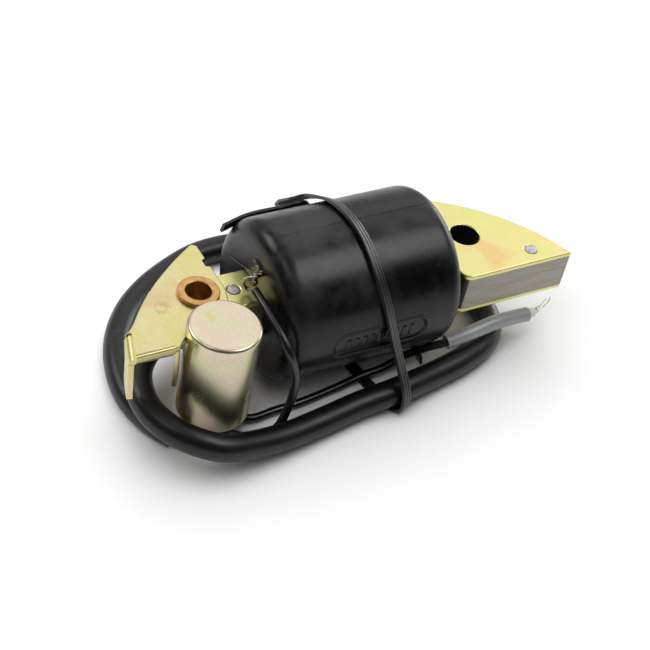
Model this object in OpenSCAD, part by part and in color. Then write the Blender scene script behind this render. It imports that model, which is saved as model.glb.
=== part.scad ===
// Ignition coil for a small engine: laminated core with a moulded coil on its arm,
// a round condenser, a bracket with a bush at the tail, and its leads tied up in a loop.
// Millimetres, +Z up. The pole hole is the origin and the coil axis runs along X.

/* [Core] */
// Thickness of the whole core, both outer plates included
core_t = 12.65; // [8:0.05:20]
// Thickness of each outer plate
plate_t = 1.2; // [0.6:0.1:2]
// Number of thin sheets between the outer plates
sheet_count = 20; // [6:1:26]
// Width of the core arm that runs through the coil
arm_w = 12; // [8:0.5:16]
// Distance from the pole hole to the bush hole
hole_pitch = 78; // [74:0.5:100]
// Diameter of the hole in the pole
pole_hole_d = 8; // [4:0.1:9]
// Length of the pole shoe along the coil axis
pole_len = 33.7; // [28:0.5:42]
// Diameter of the core rivets
rivet_d = 3.2; // [2:0.1:4]

/* [Coil] */
// Diameter of the moulded coil case
case_d = 42; // [36:0.5:50]
// Length of the moulded coil case
case_len = 50.5; // [40:0.5:52]
// Rounding of the case ends
case_round = 4.5; // [2:0.5:6]
// Wall of the case round the windings
case_wall = 2; // [1.2:0.1:3]
// Room between the core arm and the coil
arm_gap = 0.2; // [0.1:0.05:0.5]
// Depth of the recessed panel on the side of the case
panel_depth = 0.5; // [0.2:0.1:1]

/* [Condenser] */
// Diameter of the condenser can
can_d = 18; // [14:0.5:19]
// Height of the condenser can
can_h = 28; // [20:0.5:34]
// Sheet thickness of the can
can_wall = 0.5; // [0.3:0.1:1]

/* [Bracket and bush] */
// Sheet thickness of the bracket
bracket_t = 1.5; // [1:0.1:2.5]
// Bore of the bush
bush_bore_d = 6.5; // [4:0.1:7]
// Outside diameter of the bush shank
bush_shank_d = 8.5; // [8:0.1:9.5]
// Diameter of the bush flange
bush_flange_d = 10.5; // [10:0.1:12]
// Thickness of the bush flange
bush_flange_t = 1.1; // [0.6:0.1:3]

/* [Leads] */
// Diameter of the high tension lead
ht_d = 7; // [5:0.1:7]
// Diameter of the thin low tension wires
lt_d = 2.2; // [1.4:0.1:2.2]
// Diameter of the grey sleeve on the low tension lead
sleeve_d = 4; // [2.6:0.1:4.2]
// Width of the flat tie
tie_w = 3.2; // [2:0.1:4]
// Thickness of the flat tie
tie_t = 0.9; // [0.5:0.05:0.9]

/* [Hidden] */
$fn = 96;
fine = 0.05;

// core
sheet_pitch = (core_t - 2 * plate_t) / sheet_count;
sheet_t = sheet_pitch * 0.9;
groove = 0.12;
axis_z = -core_t / 2;
tail_x = -hole_pitch;
pole_x = -9.2;
pole_y = -15.2;
pole_round = 3;
arc_r = pole_len + 19.3;
arc_x = pole_x + pole_len - sqrt(arc_r * arc_r - 16.9 * 16.9);
arc_y = pole_y - 16.9;
rivet_r = rivet_d / 2;
rivets = [[14.3, -10.7], [tail_x + 9.8, 0]];

// coil
case_r = case_d / 2;
case_x1 = -12;
case_x0 = case_x1 - case_len;
in_x0 = case_x0 + case_wall;
in_x1 = case_x1 - case_wall;
in_len = in_x1 - in_x0;
in_r = case_r - case_wall;
slot_w = arm_w + 2 * arm_gap;
slot_h = core_t + 2 * arm_gap;
bob_r = norm([slot_w, slot_h]) / 2 + 0.9;
flange_t = 1.5;
room = in_r - bob_r;
prim_r = bob_r + room * 0.28;
flange_r = prim_r + room * 0.05;
wrap_r = flange_r + 0.3;
sec_x0 = in_x0 + 6.5;
sec_x1 = in_x1 - 1.5;
sec_len = sec_x1 - sec_x0;
sec_r0 = wrap_r + 0.1;
sec_r1 = sec_r0 + 0.8;
sec_r2 = in_r - 0.7;
ribs = 6;
rib_t = 1;
chamber = (sec_len - ribs * rib_t) / (ribs - 1);
panel_x0 = -50;
panel_x1 = -23;
panel_h = 7;
panel_z = axis_z - 0.7;
out_y = 10;
out_z = axis_z - 10.7;
boss_r = ht_d / 2 + 1.3;
boss_x = case_x0 - 5;
term_x = -65.2;
term_y = -2.8;
term_z = 2.9;

// condenser
can_r = can_d / 2;
can_x = tail_x - 0.5;
can_y = -arm_w / 2 - can_r - 0.1;
can_top = 5;
can_bot = can_top - can_h;
can_round = 1.2;
cap_top = can_bot - 1.6;
cap_bot = cap_top - 2.8;

// bracket
brk_r = 80;
brk_x = tail_x + 44.9;
brk_y = -52.7;
hole_r = bush_shank_d / 2 + fine;

// how far the case radius and the can bottom stand from the usual size
dr = case_r - 21;
dc = can_bot + 23;
floor_z = axis_z - case_r - tie_t;
ht_z = floor_z + ht_d / 2 + 0.02;
lt_z = floor_z + lt_d / 2 + 0.05;
hx = tail_x + 78;

// route of the high tension lead, from the outlet boss to its cut end
ht_route = [
  [boss_x, out_y, out_z], [boss_x - 5.5, out_y, out_z], [hx - 80, 8.2, -17],
  [hx - 88, 3, -17], [hx - 93.5, -3.4, -17], [hx - 96, -11.4, -17],
  [hx - 95.4, -18.8, -17.2], [hx - 91.3, -26, -17.8],
  [hx - 83.6, -30.4, -19.9], [hx - 74.7, -30.3, -22.3], [hx - 65.2, -29.3 - dr, -24],
  [-53.6, -27.5 - dr, ht_z], [-41.8, -25.7 - dr, ht_z],
  [-31, -25.4 - dr, ht_z + 0.95], [-18, -23 - dr, ht_z + 0.1], [-7, -20.6 - dr, ht_z],
  [2.6, -16.6 - dr, ht_z], [8, -10.4 - dr, ht_z], [9.4, -3, ht_z], [7.2, 4.4, ht_z],
  [2.4, 11.4, ht_z], [-4.4, 18.4 + dr, ht_z], [-12.6, 25.2 + dr, ht_z],
  [-22.4, 31.3 + dr, ht_z], [-33.6, 36.2 + dr, ht_z], [-45.6, 39.2 + dr, ht_z],
  [-57, 38.8 + dr, ht_z], [-67, 35.2 + dr, ht_z], [-76, 30.4 + dr, ht_z],
  [-84, 23.8 + dr, ht_z], [-90.3, 15.3 + dr, ht_z], [-94, 6 + dr, ht_z],
  [-95.4, -3.5, ht_z], [-94.1, -11.2, ht_z], [-92.3, -15.5, ht_z],
  [-90.2, -18.7, ht_z]];
// route of the low tension lead from the can to the sleeve
lt_route = [
  [can_x + 2, can_y - 0.4, cap_bot + 1.3], [can_x + 4.6, can_y - 0.4, cap_bot + 1.3],
  [hx - 69.4, -18.8, lt_z + 0.4],
  [-62, -18.3, lt_z], [-54.5, -18, lt_z], [-45, -16.8, lt_z], [-35.5, -15.8, lt_z + tie_t],
  [-28.3, -15.8, lt_z + 2], [-22.3, -15.4, lt_z + 4], [-17, -16.2, lt_z + 5.6],
  [-11.6, -17.4, lt_z + 7.1]];
sleeve_route = [
  [-11.6, -17.4, lt_z + 7.1], [-4.3, -17.5, lt_z + 8.4],
  [4.3, -16.7, lt_z + 8.9], [9.8, -16.3, lt_z + 8.5], [15.3, -16.1, lt_z + 8]];
white_route = [
  [15.3, -16.1, lt_z + 8], [16.4, -15.9, lt_z + 7.9], [17.5, -15.7, lt_z + 7.7]];
tinned_route = [
  [17.5, -15.7, lt_z + 7.7], [21.5, -14.3, lt_z + 7.7], [26, -12.5, lt_z + 7.9]];
// route of the wire from the coil terminal to the can
jumper_route = [
  [term_x, term_y - 2, term_z], [term_x, -8, term_z - 0.3], [term_x, -12, 2.3],
  [-65, -18.9, 0.8], [-64, -23 - dr, -2.6], [-62, -24 - dr, -9],
  [-61.6, -24 - dr, -15.5], [-62.5, -24 - dr, -21.5], [-64.8, -24.8 - dr, -25.4],
  [-69, -24.6, lt_z], [-74.5, -22.6, lt_z], [can_x, can_y - 4.6, cap_bot + 1.3],
  [can_x, can_y - 2, cap_bot + 1.3]];
// the flat tie round the case and the lead, first tail to second tail
wr = case_r + tie_t / 2 + 0.1;
tie_low = floor_z + tie_t / 2 + 0.01;
tie_route = [
  [-45.5, 22.2 + dr, 4.2], [-41.2, 21.9 + dr, 4.4], [-38.4, 20.2 + dr, 6.2],
  around(48, -37.9, 0.5), around(68, -37.9, 0), around(90, -37.9, 0),
  around(112, -37.7, 0), around(136, -37.3, 0), around(160, -35.6, 0),
  [-33.2, -22.9 - dr, -8], [-31.4, -26 - dr, -15.5], [-30.7, -29.6 - dr, -21.5],
  [-30.8, -29.8 - dr, -25.6], [-31.8, -27 - dr, tie_low], [-33.6, -20, tie_low],
  [-35, -10, tie_low], around(272, -35.8, 0), around(292, -36.1, 0),
  around(314, -36.3, 0), around(336, -36.5, 0), around(358, -36.8, 0),
  around(376, -37.1, 0.1), around(390, -39.8, 0.5), [-46, 19.2 + dr, 4.5],
  [-56, 19.1 + dr, 4.5], [-63.5, 17.4 + dr, 4.2]];

function around(a, x, out) = [x, (wr + out) * cos(a), axis_z + (wr + out) * sin(a)];
function unit(v) = v / norm(v);
function heading(p, i) = unit(p[min(i + 1, len(p) - 1)] - p[max(i - 1, 0)]);
function square_to(v, t) = unit(v - (v * t) * t);
function side_of(p, i, s) = i == 0 ? square_to(s, heading(p, 0))
  : square_to(side_of(p, i - 1, s), heading(p, i));
function wrap_faces(rings, n) = concat(
  [for (i = [0 : rings - 2]) for (k = [0 : n - 1])
    [i * n + k, i * n + (k + 1) % n, (i + 1) * n + k]],
  [for (i = [0 : rings - 2]) for (k = [0 : n - 1])
    [i * n + (k + 1) % n, (i + 1) * n + (k + 1) % n, (i + 1) * n + k]],
  [[for (k = [n - 1 : -1 : 0]) k]],
  [[for (k = [0 : n - 1]) (rings - 1) * n + k]]);

// a round tube along a route
module tube(p, d, n) {
  rings = [for (i = [0 : len(p) - 1])
    let (t = heading(p, i), s = side_of(p, i, [0, 0, 1]), u = cross(s, t))
    for (k = [0 : n - 1])
      p[i] + d / 2 * (cos(360 * k / n) * s + sin(360 * k / n) * u)];
  polyhedron(points = rings, faces = wrap_faces(len(p), n));
}

// a flat strip along a route
module strip(p, w, t, start) {
  rings = [for (i = [0 : len(p) - 1])
    let (h = heading(p, i), s = side_of(p, i, start), u = cross(s, h))
    for (c = [[1, 1], [-1, 1], [-1, -1], [1, -1]])
      p[i] + c[0] * w / 2 * s + c[1] * t / 2 * u];
  polyhedron(points = rings, faces = wrap_faces(len(p), 4));
}

// a cylinder along X on the coil axis
module along(x0, x1, r) {
  translate([x0, 0, axis_z])
    rotate([0, 90, 0])
      cylinder(h = x1 - x0, r = r);
}

module ring(x0, x1, r0, r1) {
  difference() {
    along(x0, x1, r1);
    along(x0 - 1, x1 + 1, r0);
  }
}

module slot(x0, x1) {
  translate([x0, -slot_w / 2, axis_z - slot_h / 2])
    cube([x1 - x0, slot_w, slot_h]);
}

// outline of the core, drawn smaller by e
module core_2d(e) {
  translate([tail_x, 0])
    circle(r = arm_w / 2 - e);
  translate([tail_x, -arm_w / 2 + e])
    square([-tail_x, arm_w - 2 * e]);
  intersection() {
    union() {
      translate([pole_x + e + pole_round, pole_y + e])
        square([60, 60]);
      translate([pole_x + e, pole_y + e + pole_round])
        square([60, 60]);
      translate([pole_x + e + pole_round, pole_y + e + pole_round])
        circle(r = pole_round);
    }
    translate([arc_x, arc_y])
      circle(r = arc_r - e);
  }
}

module core_holes() {
  translate([0, 0, -core_t - 1])
    cylinder(h = core_t + 2, r = pole_hole_d / 2);
  translate([tail_x, 0, -core_t - 1])
    cylinder(h = core_t + 2, r = hole_r);
  for (p = rivets)
    translate([p[0], p[1], -core_t - 1])
      cylinder(h = core_t + 2, r = rivet_r + 0.02);
}

module core_laminations() {
  color("silver")
    difference() {
      union() {
        translate([0, 0, -core_t + plate_t])
          linear_extrude(core_t - 2 * plate_t)
            core_2d(groove);
        for (i = [0 : sheet_count - 1])
          translate([0, 0, -plate_t - (i + 1) * sheet_pitch + (sheet_pitch - sheet_t) / 2])
            linear_extrude(sheet_t)
              core_2d(0);
      }
      core_holes();
    }
}

module core_top_plate() {
  color("gold")
    difference() {
      translate([0, 0, -plate_t])
        linear_extrude(plate_t)
          core_2d(0);
      core_holes();
    }
}

module core_bottom_plate() {
  color("gold")
    difference() {
      translate([0, 0, -core_t])
        linear_extrude(plate_t)
          core_2d(0);
      core_holes();
    }
}

module core_rivets() {
  color("silver")
    for (p = rivets)
      translate([p[0], p[1], -core_t])
        cylinder(h = core_t, r = rivet_r);
}

// outside of the coil case with rounded ends
module case_body() {
  translate([case_x0, 0, axis_z])
    rotate([0, 90, 0])
      rotate_extrude() {
        square([case_r - case_round, case_len]);
        translate([0, case_round])
          square([case_r, case_len - 2 * case_round]);
        translate([case_r - case_round, case_round])
          circle(r = case_round);
        translate([case_r - case_round, case_len - case_round])
          circle(r = case_round);
      }
}

module panel_2d() {
  translate([panel_x0 + panel_h / 2, -panel_h / 2])
    square([panel_x1 - panel_x0 - panel_h, panel_h]);
  translate([panel_x0 + panel_h / 2, 0])
    circle(r = panel_h / 2);
  translate([panel_x1 - panel_h / 2, 0])
    circle(r = panel_h / 2);
}

module coil_case() {
  color([0.06, 0.06, 0.06]) {
    difference() {
      case_body();
      difference() {
        translate([0, -case_r + 5, panel_z])
          rotate([90, 0, 0])
            linear_extrude(20)
              panel_2d();
        along(case_x0 - 1, case_x1 + 1, case_r - panel_depth);
      }
      along(in_x0, in_x1, in_r);
      slot(case_x0 - 1, case_x1 + 1);
      translate([case_x0 - 1, out_y, out_z])
        rotate([0, 90, 0])
          cylinder(h = case_wall + 1.5, r = 1.25);
      translate([case_x0 - 1, term_y, term_z + 2.6])
        rotate([0, 90, 0])
          cylinder(h = case_wall + 1.5, r = 0.72);
    }
    translate([case_x0 + case_round, -0.2, axis_z + case_r - 0.3])
      cube([case_len - 2 * case_round, 0.4, 0.45]);
    intersection() {
      ring(panel_x0, panel_x1, case_r - panel_depth - 0.2, case_r - panel_depth + 0.25);
      for (i = [0 : 8])
        translate([panel_x0 + 3.9 + 2.3 * i, -case_r - 1, panel_z - 1.5])
          cube([0.9, 4, 3]);
    }
  }
}

module potting_resin() {
  color([0.12, 0.1, 0.08])
    difference() {
      along(in_x0, in_x1, in_r - 0.02);
      along(sec_x0, sec_x1, sec_r2 + fine);
      along(in_x0 - 1, in_x1 + 1, flange_r + fine);
      translate([case_x0 + 3.5 - fine, out_y, out_z])
        rotate([0, 90, 0])
          cylinder(h = 1.5 + 2 * fine, r = 2.6);
      translate([case_x0 - 1, out_y, out_z])
        rotate([0, 90, 0])
          cylinder(h = sec_x0 - case_x0 + 2, r = 1.25);
    }
}

module primary_bobbin() {
  color([0.35, 0.3, 0.22])
    difference() {
      union() {
        along(in_x0, in_x1, bob_r);
        along(in_x0, in_x0 + flange_t, flange_r);
        along(in_x1 - flange_t, in_x1, flange_r);
      }
      slot(in_x0 - 1, in_x1 + 1);
      translate([in_x0 - 1, term_y, term_z + 2.6])
        rotate([0, 90, 0])
          cylinder(h = flange_t + 1 + 0.1, r = 0.72);
    }
}

module primary_winding() {
  color([0.72, 0.4, 0.2])
    ring(in_x0 + flange_t + 0.1, in_x1 - flange_t - 0.1, bob_r + 0.02, prim_r);
}

module winding_insulation() {
  color([0.8, 0.7, 0.5])
    ring(in_x0 + flange_t + 0.1, in_x1 - flange_t - 0.1, prim_r + 0.05, wrap_r);
}

module secondary_bobbin() {
  color([0.35, 0.3, 0.22]) {
    ring(sec_x0, sec_x1, sec_r0, sec_r1);
    for (i = [0 : ribs - 1])
      ring(sec_x0 + i * (chamber + rib_t), sec_x0 + i * (chamber + rib_t) + rib_t,
        sec_r0, sec_r2);
  }
}

module secondary_winding() {
  color([0.6, 0.3, 0.15])
    for (i = [0 : ribs - 2])
      ring(sec_x0 + rib_t + i * (chamber + rib_t) + 0.05,
        sec_x0 + (i + 1) * (chamber + rib_t) - 0.05, sec_r1 + 0.05, sec_r2 - 0.5);
}

module ht_contact() {
  color("goldenrod") {
    translate([case_x0 + 3.5, out_y, out_z])
      rotate([0, 90, 0])
        cylinder(h = 1.5, r = 2.5);
    translate([boss_x + 0.5, out_y, out_z])
      rotate([0, 90, 0])
        cylinder(h = sec_x0 - boss_x - 0.5 - fine, r = 1.2);
  }
}

module ht_grommet() {
  color([0.1, 0.1, 0.1])
    difference() {
      union() {
        translate([boss_x, out_y, out_z])
          rotate([0, 90, 0])
            cylinder(h = case_x0 - boss_x, r = boss_r);
        translate([case_x0 - 1.2, out_y, out_z])
          rotate([0, 90, 0])
            cylinder(h = 1.2, r = boss_r + 0.8);
      }
      translate([boss_x - 1, out_y, out_z])
        rotate([0, 90, 0])
          cylinder(h = 12, r = 1.25);
    }
}

// flat outline of the bracket plate
module bracket_2d() {
  difference() {
    intersection() {
      translate([tail_x, 0])
        polygon([[-24.66, -17], [-23.25, -10.2], [-20.8, -6.9], [-21, 6.5], [-10.5, 6.5], [-10.4, 4.7], [-8.3, 6.7],
          [-1.9, 11.75], [1.8, 14.35], [5.9, 16.9], [7.1, 16.1], [7.1, -0.5],
          [6.1, -4.1], [4, -8.5], [-5.3, -8.9], [-12.55, -17]]);
      translate([brk_x, brk_y])
        circle(r = brk_r, $fn = 360);
    }
    translate([tail_x + 7.5, 9.6])
      circle(r = 1.6);
    translate([tail_x, 0])
      circle(r = hole_r);
  }
}

// one leg, w wide and h high, with its low rear corner rounded
module leg(w, h, r) {
  rotate([90, 0, 90])
    linear_extrude(bracket_t) {
      translate([0, r])
        square([w, h - r]);
      square([w - r, h]);
      translate([w - r, r])
        circle(r = r);
    }
}

module bracket_plate() {
  color([0.85, 0.75, 0.45])
    difference() {
      union() {
        linear_extrude(bracket_t)
          bracket_2d();
        translate([tail_x - 23, -16, -2.1])
          cube([11, 0.8 + bracket_t, 2.1 + bracket_t]);
        translate([tail_x - 24.5, -16.2, -13])
          rotate([0, 0, -11.5])
            leg(6, 13 + bracket_t, 3);
        translate([tail_x - 13.77, -15.94, -12.2])
          rotate([0, 0, -41.8])
            leg(6, 12.2 + bracket_t, 2);
        intersection() {
          translate([tail_x - 10.5, -1.9, 0.5])
            cylinder(h = bracket_t, r = 1.45);
          translate([tail_x - 12.5, -1.9, 0])
            cube([4, 2, bracket_t + 1]);
        }
      }
      translate([can_x, can_y, -20])
        cylinder(h = 30, r = can_r + 0.25);
      translate([tail_x - 40, -25.2, -20])
        cube([60, 10, 30]);
    }
}

module bracket_bush() {
  color([0.75, 0.5, 0.3])
    difference() {
      union() {
        translate([tail_x, 0, -core_t])
          cylinder(h = core_t + bracket_t, r = bush_shank_d / 2);
        translate([tail_x, 0, bracket_t])
          cylinder(h = bush_flange_t, r = bush_flange_d / 2);
      }
      translate([tail_x, 0, -core_t - 1])
        cylinder(h = core_t + bracket_t + bush_flange_t + 2, r = bush_bore_d / 2);
    }
}

module condenser_can() {
  color([0.85, 0.85, 0.75])
    difference() {
      translate([can_x, can_y, can_bot])
        rotate_extrude() {
          square([can_r - can_round, can_h]);
          square([can_r, can_h - can_round]);
          translate([can_r - can_round, can_h - can_round])
            circle(r = can_round);
        }
      translate([can_x, can_y, can_bot + 0.7])
        cylinder(h = can_h - 0.7 - can_wall, r = can_r - can_wall);
      translate([can_x, can_y, can_bot - 1])
        cylinder(h = 3, r = can_r - 1.6);
    }
}

module condenser_roll() {
  color([0.8, 0.75, 0.6])
    translate([can_x, can_y, can_bot + 4])
      cylinder(h = can_h - 4 - can_wall - 0.5, r = can_r - can_wall - 0.3);
}

module condenser_seal() {
  color([0.15, 0.12, 0.1])
    difference() {
      translate([can_x, can_y, can_bot + 0.7])
        cylinder(h = 3.2, r = can_r - can_wall);
      translate([can_x, can_y, can_bot])
        cylinder(h = 5, r = 1);
    }
}

module condenser_terminal() {
  color([0.8, 0.8, 0.75]) {
    translate([can_x, can_y, cap_top - 0.5])
      cylinder(h = can_bot + 4 - cap_top + 0.5, r = 1);
    translate([can_x - 2, can_y - 2, cap_bot])
      cube([4, 4, cap_top - cap_bot]);
  }
}

// solder that joins the can to the edge of the bracket
module condenser_solder() {
  color([0.75, 0.75, 0.75])
    intersection() {
      translate([can_x, can_y, 0])
        difference() {
          cylinder(h = bracket_t, r = can_r + 0.25);
          translate([0, 0, -1])
            cylinder(h = bracket_t + 2, r = can_r);
        }
      translate([can_x - 6, can_y + can_r * 0.6, -1])
        cube([10, can_r, bracket_t + 2]);
    }
}

module coil_terminal() {
  color([0.8, 0.8, 0.75]) {
    translate([term_x - 1.5, term_y, term_z + 2.6])
      rotate([0, 90, 0])
        cylinder(h = in_x0 + flange_t - term_x + 1.5, r = 0.7);
    translate([term_x - 0.6, term_y - 2, term_z - 1.1])
      cube([1.2, 4, 5.6]);
  }
}

module terminal_solder() {
  color([0.75, 0.75, 0.75])
    translate([term_x - 1.5, term_y, term_z + 2.6])
      rotate([0, 90, 0])
        difference() {
          cylinder(h = 0.9, r = 1.5);
          translate([0, 0, -1])
            cylinder(h = 3, r = 0.7);
        }
}

module winding_lead() {
  color([0.75, 0.45, 0.2])
    translate([case_x0 - 0.28, 0.2, 1.9])
      rotate([-90, 0, 0])
        cylinder(h = 12, r = 0.25);
}

module ht_lead() {
  color([0.08, 0.08, 0.08])
    tube(ht_route, ht_d, 12);
}

module ht_lead_core() {
  n = len(ht_route) - 1;
  e = ht_route[n];
  t = heading(ht_route, n);
  color([0.75, 0.45, 0.2])
    tube([e, e + 0.4 * t, e + 0.8 * t], 1.6, 8);
}

module jumper_wire() {
  color([0.08, 0.08, 0.08])
    tube(jumper_route, lt_d, 8);
}

module lt_lead() {
  color([0.08, 0.08, 0.08])
    tube(lt_route, lt_d, 8);
}

module lt_sleeve() {
  color([0.5, 0.5, 0.48])
    tube(sleeve_route, sleeve_d, 8);
}

module lt_insulation() {
  color([0.9, 0.9, 0.88])
    tube(white_route, lt_d * 1.2, 8);
}

module lt_tinned_end() {
  color([0.8, 0.8, 0.8])
    tube(tinned_route, lt_d * 0.6, 8);
}

module lead_clip() {
  color([0.1, 0.1, 0.1])
    translate([-19.4, -15.8, lt_z + 4.9])
      rotate([0, -14, -8])
        difference() {
          translate([-0.35, -3.5, -1.9])
            cube([0.7, 7, 3.8]);
          rotate([0, 90, 0])
            translate([0, 0, -3])
              cylinder(h = 6, r = lt_d / 2 + 0.15);
        }
}

module twist_tie() {
  color([0.1, 0.1, 0.1])
    strip(tie_route, tie_w, tie_t, [0, -0.5, 0.87]);
}

coil_case();
potting_resin();
primary_bobbin();
primary_winding();
winding_insulation();
secondary_bobbin();
secondary_winding();
ht_contact();
ht_grommet();
core_laminations();
core_top_plate();
core_bottom_plate();
core_rivets();
bracket_plate();
bracket_bush();
condenser_can();
condenser_roll();
condenser_seal();
condenser_terminal();
condenser_solder();
coil_terminal();
terminal_solder();
winding_lead();
ht_lead();
ht_lead_core();
jumper_wire();
lt_lead();
lt_sleeve();
lt_insulation();
lt_tinned_end();
lead_clip();
twist_tie();
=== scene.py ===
import math
import random

import bmesh
import bpy
from mathutils import Matrix, Vector


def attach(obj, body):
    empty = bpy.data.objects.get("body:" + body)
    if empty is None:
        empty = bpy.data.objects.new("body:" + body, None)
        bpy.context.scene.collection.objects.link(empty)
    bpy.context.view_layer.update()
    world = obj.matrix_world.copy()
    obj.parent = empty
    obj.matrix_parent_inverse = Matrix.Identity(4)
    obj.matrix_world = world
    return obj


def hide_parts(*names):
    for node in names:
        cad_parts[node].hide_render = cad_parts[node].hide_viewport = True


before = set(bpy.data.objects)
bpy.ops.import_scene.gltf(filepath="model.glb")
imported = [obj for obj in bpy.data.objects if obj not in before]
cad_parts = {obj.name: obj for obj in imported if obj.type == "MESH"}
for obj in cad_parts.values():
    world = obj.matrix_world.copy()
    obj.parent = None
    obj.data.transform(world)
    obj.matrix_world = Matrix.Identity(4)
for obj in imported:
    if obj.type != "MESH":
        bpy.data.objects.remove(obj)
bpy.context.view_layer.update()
MM = 0.001


# ---------------------------------------------------------------- small tools

def linear(code):
    """A colour written as sRGB hex, as the linear values that a shader takes."""
    parts = [int(code[i:i + 2], 16) / 255 for i in (1, 3, 5)]
    return tuple(c / 12.92 if c <= 0.04045 else ((c + 0.055) / 1.055) ** 2.4 for c in parts) + (1.0,)


def add(tree, kind, links=None, stops=None, **settings):
    """Adds one node. links holds its inputs: another node's output, or a plain value."""
    made = tree.nodes.new(kind)
    for key, value in settings.items():
        setattr(made, key, value)
    if stops:
        ramp = made.color_ramp.elements
        while len(ramp) < len(stops):
            ramp.new(1.0)
        for element, (place, colour) in zip(ramp, stops):
            element.position = place
            element.color = linear(colour) if isinstance(colour, str) else (colour,) * 3 + (1.0,)
    for key, value in (links or {}).items():
        if isinstance(value, bpy.types.NodeSocket):
            tree.links.new(value, made.inputs[key])
        else:
            made.inputs[key].default_value = value
    return made


def material(name):
    """A new material, its node tree and its shader."""
    mat = bpy.data.materials.new(name)
    mat.use_nodes = True
    tree = mat.node_tree
    return mat, tree, tree.nodes["Principled BSDF"]


def finish_piece(obj, mat, stands_for=()):
    """Gives a piece its material and slot, and fixes it to the one body."""
    obj.data.materials.clear()
    obj.data.materials.append(mat)
    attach(obj, "root")
    if stands_for:
        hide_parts(*stands_for)
    return obj


def mesh_piece(name, verts, faces, sharp=35.0):
    """A mesh object from points in millimetres, smooth except along its sharp edges."""
    mesh = bpy.data.meshes.new(name)
    mesh.from_pydata([tuple(c * MM for c in v) for v in verts], [], faces)
    mesh.validate()
    built = bmesh.new()
    built.from_mesh(mesh)
    bmesh.ops.remove_doubles(built, verts=built.verts, dist=1e-6)
    bmesh.ops.recalc_face_normals(built, faces=built.faces)
    built.to_mesh(mesh)
    built.free()
    mesh.shade_smooth()
    mesh.set_sharp_from_angle(angle=math.radians(sharp))
    obj = bpy.data.objects.new(name, mesh)
    bpy.context.scene.collection.objects.link(obj)
    return obj


def even_normals(obj):
    """Lets the big flat faces set the shading next to a small rounded edge."""
    mod = obj.modifiers.new("even normals", "WEIGHTED_NORMAL")
    mod.keep_sharp = True
    return obj


def arc(cx, cy, r, a0, a1, n):
    """Points on an arc, from angle a0 to a1 in degrees."""
    return [(cx + r * math.cos(math.radians(a0 + (a1 - a0) * i / n)),
             cy + r * math.sin(math.radians(a0 + (a1 - a0) * i / n))) for i in range(n + 1)]


def hole(cx, cy, r, n=64):
    """A round hole, wound against its plate's outline."""
    return arc(cx, cy, r, 0, -360 * (n - 1) / n, n - 1)


def rounded(corners, n=5):
    """An outline whose corners (x, y, radius) are rounded."""
    out = []
    count = len(corners)
    for i, (x, y, r) in enumerate(corners):
        p, here, q = (Vector(corners[(i + k) % count][:2]) for k in (-1, 0, 1))
        if r <= 0:
            out.append((x, y))
            continue
        u, v = (p - here).normalized(), (q - here).normalized()
        half = u.angle(v) / 2
        cut = min(r / math.tan(half), 0.49 * (p - here).length, 0.49 * (q - here).length)
        a, b = here + u * cut, here + v * cut
        for k in range(n + 1):
            t = k / n
            point = a * (1 - t) ** 2 + here * 2 * t * (1 - t) + b * t * t
            out.append((point.x, point.y))
    return out


def inset(loop, e):
    """The outline moved by e into the metal."""
    if e == 0:
        return list(loop)
    out = []
    count = len(loop)
    for i in range(count):
        p, here, q = (Vector(loop[(i + k) % count]) for k in (-1, 0, 1))
        u, v = here - p, q - here
        u, v = (u if u.length > 1e-6 else v).normalized(), (v if v.length > 1e-6 else u).normalized()
        normal = Vector((-u.y - v.y, u.x + v.x))
        length = normal.length
        if length < 1e-4:
            normal, length = Vector((-u.y, u.x)), 1.0
        normal /= length
        reach = e / max(0.35, normal.dot(Vector((-u.y, u.x))))
        out.append((here.x + normal.x * reach, here.y + normal.y * reach))
    return out


def stack(name, loops, levels, caps=True, matrix=None, wobble=None, sharp=35.0):
    """Walls that follow the loops through levels of (inset, height), closed at both ends if caps."""
    built = bmesh.new()
    ends = []
    for loop in loops:
        rings = []
        for k, (e, z) in enumerate(levels):
            shift = wobble(k) if wobble else (0.0, 0.0)
            rings.append([built.verts.new(((x + shift[0]) * MM, (y + shift[1]) * MM, z * MM))
                          for x, y in inset(loop, e)])
        count = len(loop)
        for low, high in zip(rings, rings[1:]):
            for i in range(count):
                j = (i + 1) % count
                built.faces.new((low[i], low[j], high[j], high[i]))
        ends.append((rings[0], rings[-1]))
    if caps:
        for side in (0, 1):
            edges = [built.edges.get((ring[side][i], ring[side][(i + 1) % len(ring[side])]))
                     for ring in ends for i in range(len(ring[side]))]
            bmesh.ops.triangle_fill(built, use_beauty=True, use_dissolve=False, edges=edges)
    bmesh.ops.recalc_face_normals(built, faces=built.faces)
    if matrix:
        bmesh.ops.transform(built, matrix=matrix, verts=built.verts)
    mesh = bpy.data.meshes.new(name)
    built.to_mesh(mesh)
    built.free()
    mesh.shade_smooth()
    mesh.set_sharp_from_angle(angle=math.radians(sharp))
    obj = bpy.data.objects.new(name, mesh)
    bpy.context.scene.collection.objects.link(obj)
    return obj


def pressed(z0, z1, low, high):
    """Levels of a pressed sheet from z0 to z1, with its lower and upper edge rounded."""
    out, steps = [], 4
    for k in range(steps + 1):
        a = math.pi / 2 * k / steps
        out.append((low * (1 - math.sin(a)), z0 + low * (1 - math.cos(a))))
    for k in range(steps + 1):
        a = math.pi / 2 * k / steps
        out.append((high * (1 - math.cos(a)), z1 - high * (1 - math.sin(a))))
    return out


def sheet_metal(name, loops, z0, z1, low=0.15, high=0.3, matrix=None):
    """A flat pressed plate with rounded edges."""
    return even_normals(stack(name, loops, pressed(z0, z1, low, high), matrix=matrix, sharp=50.0))


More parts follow.
